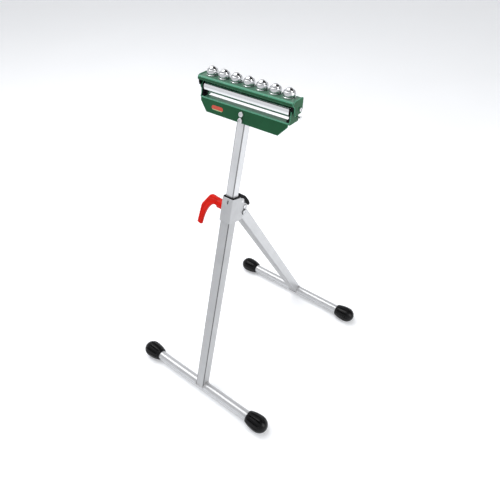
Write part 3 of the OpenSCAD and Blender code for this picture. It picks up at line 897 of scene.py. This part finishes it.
def roller():
    """Plated roller tube with turned ends and black end bearings, on an axle held in bearing blocks."""
    half, r = ROLLER_HALF, ROLLER_R
    body = ring([(r, -half + 0.6), (r, -60), (r, 0), (r, 60), (r, half - 0.6), (r - 0.6, half),
                 (r - WALL, half), (r - WALL, -half), (r - 0.6, -half)], 96)
    piece(body, "roller_body", ROLLER, "roller", ["roller_tube"], HEAD @ RIGHT, 0.12)
    bore, plug, low = AXLE_R + 0.06, r - WALL - 0.05, LEDGE_Z + 0.1
    cheek = arc(-1, -1, 12, 0, 180, 14) + [(-13, low), (-3, low)]
    foot = [(-15, low), (-15, -14.5), (-14, -13.5), (-3, -13.5), (-3, low)]
    for (side, hand), turn in zip(SIDES, (LEFT, RIGHT)):
        end = ring([(bore, half - 9), (plug, half - 9), (plug, half + 0.02), (r - 0.5, half + 0.02),
                    (r - 0.6, half + 0.9), (6, half + 0.9), (bore, half + 0.5)], 64)
        piece(end, "roller_bearing_" + hand, BLACK, "roller", ["roller_end_" + hand], HEAD @ turn, 0.12)
        piece(plate(cheek, *span(side, BLOCK_X)), "bearing_cheek_" + hand, BLACK, "slide",
              ["bearing_block_" + hand], HEAD, 0.5)
        piece(plate(foot, *span(side, BLOCK_FOOT_X)), "bearing_foot_" + hand, BLACK, "slide", place=HEAD,
              width=0.4)
    end, tip = EAR_X[1] + 1, AXLE_R - 0.5
    axle = lathe([(0, -end), (tip, -end), (AXLE_R, 0.5 - end), (AXLE_R, end - 0.5), (tip, end), (0, end)], 48)
    piece(axle, "axle_rod", BOLT, "slide", ["roller_axle"], HEAD @ RIGHT)


roller()


def rail():
    """Folded rail over the roller, its end arms and clips, and the bolts and stops it tilts between."""
    path = [(RAIL_FRONT, RAIL_LOW), (RAIL_FRONT, RAIL_TOP), (RAIL_BACK, RAIL_TOP), (RAIL_BACK, RAIL_LOW)]
    bm = folded(path, [RAIL_HALF] * 4, 2.8)
    piece(bm, "rail_sheet", GREEN, "rail", ["ball_rail"], HEAD, 0.5)
    arm = [path[0]] + arc(-8, 16.5, 8, 180, 90, 8) + arc(15, 21.5, 3, 90, 0, 6) + [path[-1]]
    arm += arc(*FLIP, 9.5, 10, -60, 8) + arc(-5, -2.5, 4, 270, 180, 6) + [(-11.5, 13)]
    clip = [(-15.8, 14.9), (-15.6, 5), (-12.8, 4), (-10.5, 14.9)]
    # The pivot bolt is turned down outside its shoulder, which stands between the ear and the arm
    head = ARM_X[1] + 0.3
    bolt = [(0.01, 107.5), (3, 107.5), (3, 111.55), (4.4, 111.55), (4.4, 114.8), (3, 114.8), (3, head),
            (0.01, head)]
    for (side, hand), turn in zip(SIDES, (LEFT, RIGHT)):
        piece(plate(arm, *span(side, ARM_X)), "rail_arm_" + hand, GREEN, "rail", place=HEAD, width=0.6,
              segments=3)
        piece(plate(clip, *span(side, CLIP_X)), "rail_clip_" + hand, BLACK, "rail", ["rail_end_" + hand],
              HEAD, 0.4)
        first = side < 0
        pivot = HEAD @ at(0, *FLIP) @ turn
        piece(ring(bolt, 40), "rail_bolt_bar_" + hand, BOLT, "slide", place=pivot, width=0.1)
        piece(bolt_head(7.8, 2.7), "rail_bolt_head_" + hand, BOLT, "slide",
              ["rail_pivot_bolts"] if first else [], pivot @ at(0, 0, head), 0.12)
        stop = HEAD @ at(0, *STOP) @ turn
        piece(bar(2, 109.0, 118.6), "rail_stop_bar_" + hand, BOLT, "slide", place=stop)
        piece(rivet(3.0, 2.0), "rail_stop_head_" + hand, BOLT, "slide",
              ["rail_stop_pins"] if first else [], stop @ at(0, 0, 118.5))


rail()


def ball_unit(i):
    """A pressed cup on a flange with its ball, and the nut that holds it under the rail."""
    place = HEAD @ at((i - (BALL_COUNT + 1) / 2) * BALL_PITCH, BALL_Y, RAIL_TOP)
    outer = [(SPIGOT_R, SPIGOT_LOW), (SPIGOT_R, -0.6), (8.4, 0.02)]
    outer += [(12.1, 0.02), (12.5, 0.3), (12.5, 0.8), (12.1, 1.2)]
    side = [math.radians(k) for k in range(-18, 29, 4)]
    outer += [(CUP_R * math.cos(a), CUP_MID + CUP_R * math.sin(a)) for a in side]
    gap = BALL_R + BALL_GAP
    lip = math.sqrt(gap ** 2 - (CUP_LIP - BALL_UP) ** 2)
    outer += [(lip + 0.7, CUP_LIP), (lip + 0.2, CUP_LIP - 0.1)]
    low, high = BALL_UP - math.sqrt(gap ** 2 - SEAT_HOLE_R ** 2), CUP_LIP - 0.3
    inner = []
    for k in range(12):
        z = high - (high - low) * k / 11
        inner.append((math.sqrt(max(gap ** 2 - (z - BALL_UP) ** 2, SEAT_HOLE_R ** 2)), z))
    bm = ring(outer + inner + [(SEAT_HOLE_R, SPIGOT_LOW)], 64)
    piece(bm, "cup_%d" % i, CUP, "rail", ["ball_cup_%d" % i], place)
    steps = 28
    round_ball = [(0, BALL_UP - BALL_R)]
    for k in range(1, steps):
        a = math.pi * k / steps
        round_ball.append((BALL_R * math.sin(a), BALL_UP - BALL_R * math.cos(a)))
    bm = lathe(round_ball + [(0, BALL_UP + BALL_R)], 56)
    piece(bm, "ball_%d_v" % i, CHROME, "ball_%d_body" % i, ["ball_%d" % i], place)
    bore, half, low, high = SPIGOT_R + 0.02, 9.4, -5.2, -SHEET - 0.02
    nut = ring([(bore, low), (half, low), (half, high), (bore, high)], 48)
    piece(hexagonal(nut, 9, half, 2), "cup_nut_%d" % i, BOLT, "rail", ["cup_nuts"] if i == 1 else [],
          place, 0.3)


for number in range(1, BALL_COUNT + 1):
    ball_unit(number)


# ---------------------------------------------------------------- inner CAD pieces that stay

for name, material in (("glide_plug", BLACK), ("post_top_block", BLACK), ("pressure_pad", BLACK),
                       ("ball_seats", BLACK), ("leg_bush", BOLT)):
    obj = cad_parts[name]
    obj.data.materials.clear()
    obj.data.materials.append(material)


# ---------------------------------------------------------------- stage

def stage():
    """Pale floor, soft studio lights and the camera."""
    world = bpy.data.worlds.new("studio")
    bpy.context.scene.world = world
    world.use_nodes = True
    tree = world.node_tree
    place = tree.nodes.new("ShaderNodeTexCoord").outputs["Generated"]
    split = tree.nodes.new("ShaderNodeSeparateXYZ")
    tree.links.new(place, split.inputs[0])

    def by_height(stops):
        """Brightness against height, from (height, brightness) pairs."""
        ramp = tree.nodes.new("ShaderNodeValToRGB")
        tree.links.new(split.outputs["Z"], ramp.inputs[0])
        marks = ramp.color_ramp.elements
        marks[0].position, marks[0].color = 0.0, grey(stops[0][1])
        marks[1].position, marks[1].color = 1.0, grey(stops[-1][1])
        for spot, value in stops[1:-1]:
            marks.new(spot).color = grey(value)
        return ramp.outputs[0]

    def ease(value, start, end):
        """0 below start, 1 above end."""
        made = tree.nodes.new("ShaderNodeMapRange")
        made.inputs["From Min"].default_value = start
        made.inputs["From Max"].default_value = end
        tree.links.new(value, made.inputs["Value"])
        return made.outputs[0]

    def blend(factor, a, b):
        made = tree.nodes.new("ShaderNodeMix")
        made.data_type = "RGBA"
        tree.links.new(factor, made.inputs["Factor"])
        tree.links.new(a, made.inputs["A"])
        if isinstance(b, tuple):
            made.inputs["B"].default_value = b
        else:
            tree.links.new(b, made.inputs["B"])
        return made.outputs["Result"]

    # A dark strip hangs high across the front of the studio, and a dark flag high behind
    front = by_height([(0, 0.92), (0.48, 0.86), (0.51, 0.01), (0.63, 0.01), (0.66, 1.0), (1, 0.5)])
    behind = by_height([(0, 1.0), (0.45, 1.0), (0.62, 0.6), (1, 0.4)])
    room = blend(ease(split.outputs["Y"], -0.10, 0.12), front, behind)
    flag = tree.nodes.new("ShaderNodeVectorMath")
    flag.operation = "DOT_PRODUCT"
    flag.inputs[1].default_value = Vector((0.50, 0.42, 0.72)).normalized()
    tree.links.new(place, flag.inputs[0])
    room = blend(ease(flag.outputs["Value"], 0.80, 0.84), room, grey(0.02))
    tree.links.new(room, tree.nodes["Background"].inputs["Color"])
    tree.nodes["Background"].inputs["Strength"].default_value = 0.95

    bm = bmesh.new()
    bmesh.ops.create_circle(bm, cap_ends=True, radius=14, segments=96)
    mesh = bpy.data.meshes.new("floor")
    bm.to_mesh(mesh)
    bm.free()
    floor = bpy.data.objects.new("floor", mesh)
    bpy.context.scene.collection.objects.link(floor)
    mesh.materials.append(pale_floor())

    def lamp(name, spot, aim, size, power):
        """A rectangular softbox at a spot, turned to its aim."""
        data = bpy.data.lights.new(name, "AREA")
        data.shape = "RECTANGLE"
        data.size, data.size_y = size
        data.energy = power
        obj = bpy.data.objects.new(name, data)
        obj.location = spot
        obj.rotation_euler = (Vector(spot) - Vector(aim)).to_track_quat("Z", "Y").to_euler()
        bpy.context.scene.collection.objects.link(obj)

    lamp("top_softbox", (-1.2, -0.2, 3.1), (0, 0, 0.3), (2.0, 2.4), 58)
    lamp("right_softbox", (2.9, 0.2, 1.6), (0, 0, 0.4), (1.4, 2.4), 47)

    data = bpy.data.cameras.new("camera")
    data.sensor_width = 36.0
    data.lens = 32.72
    data.shift_x, data.shift_y = -0.0015, 0.0012
    data.dof.use_dof = False
    data.clip_end = 60
    camera = bpy.data.objects.new("camera", data)
    camera.location = (0.5388, -0.7171, 1.1245)
    camera.rotation_euler = (math.radians(49.15), 0, math.radians(37.42))
    scene = bpy.context.scene
    scene.collection.objects.link(camera)
    scene.camera = camera
    scene.view_settings.view_transform = "Standard"
    scene.view_settings.look = "None"


stage()
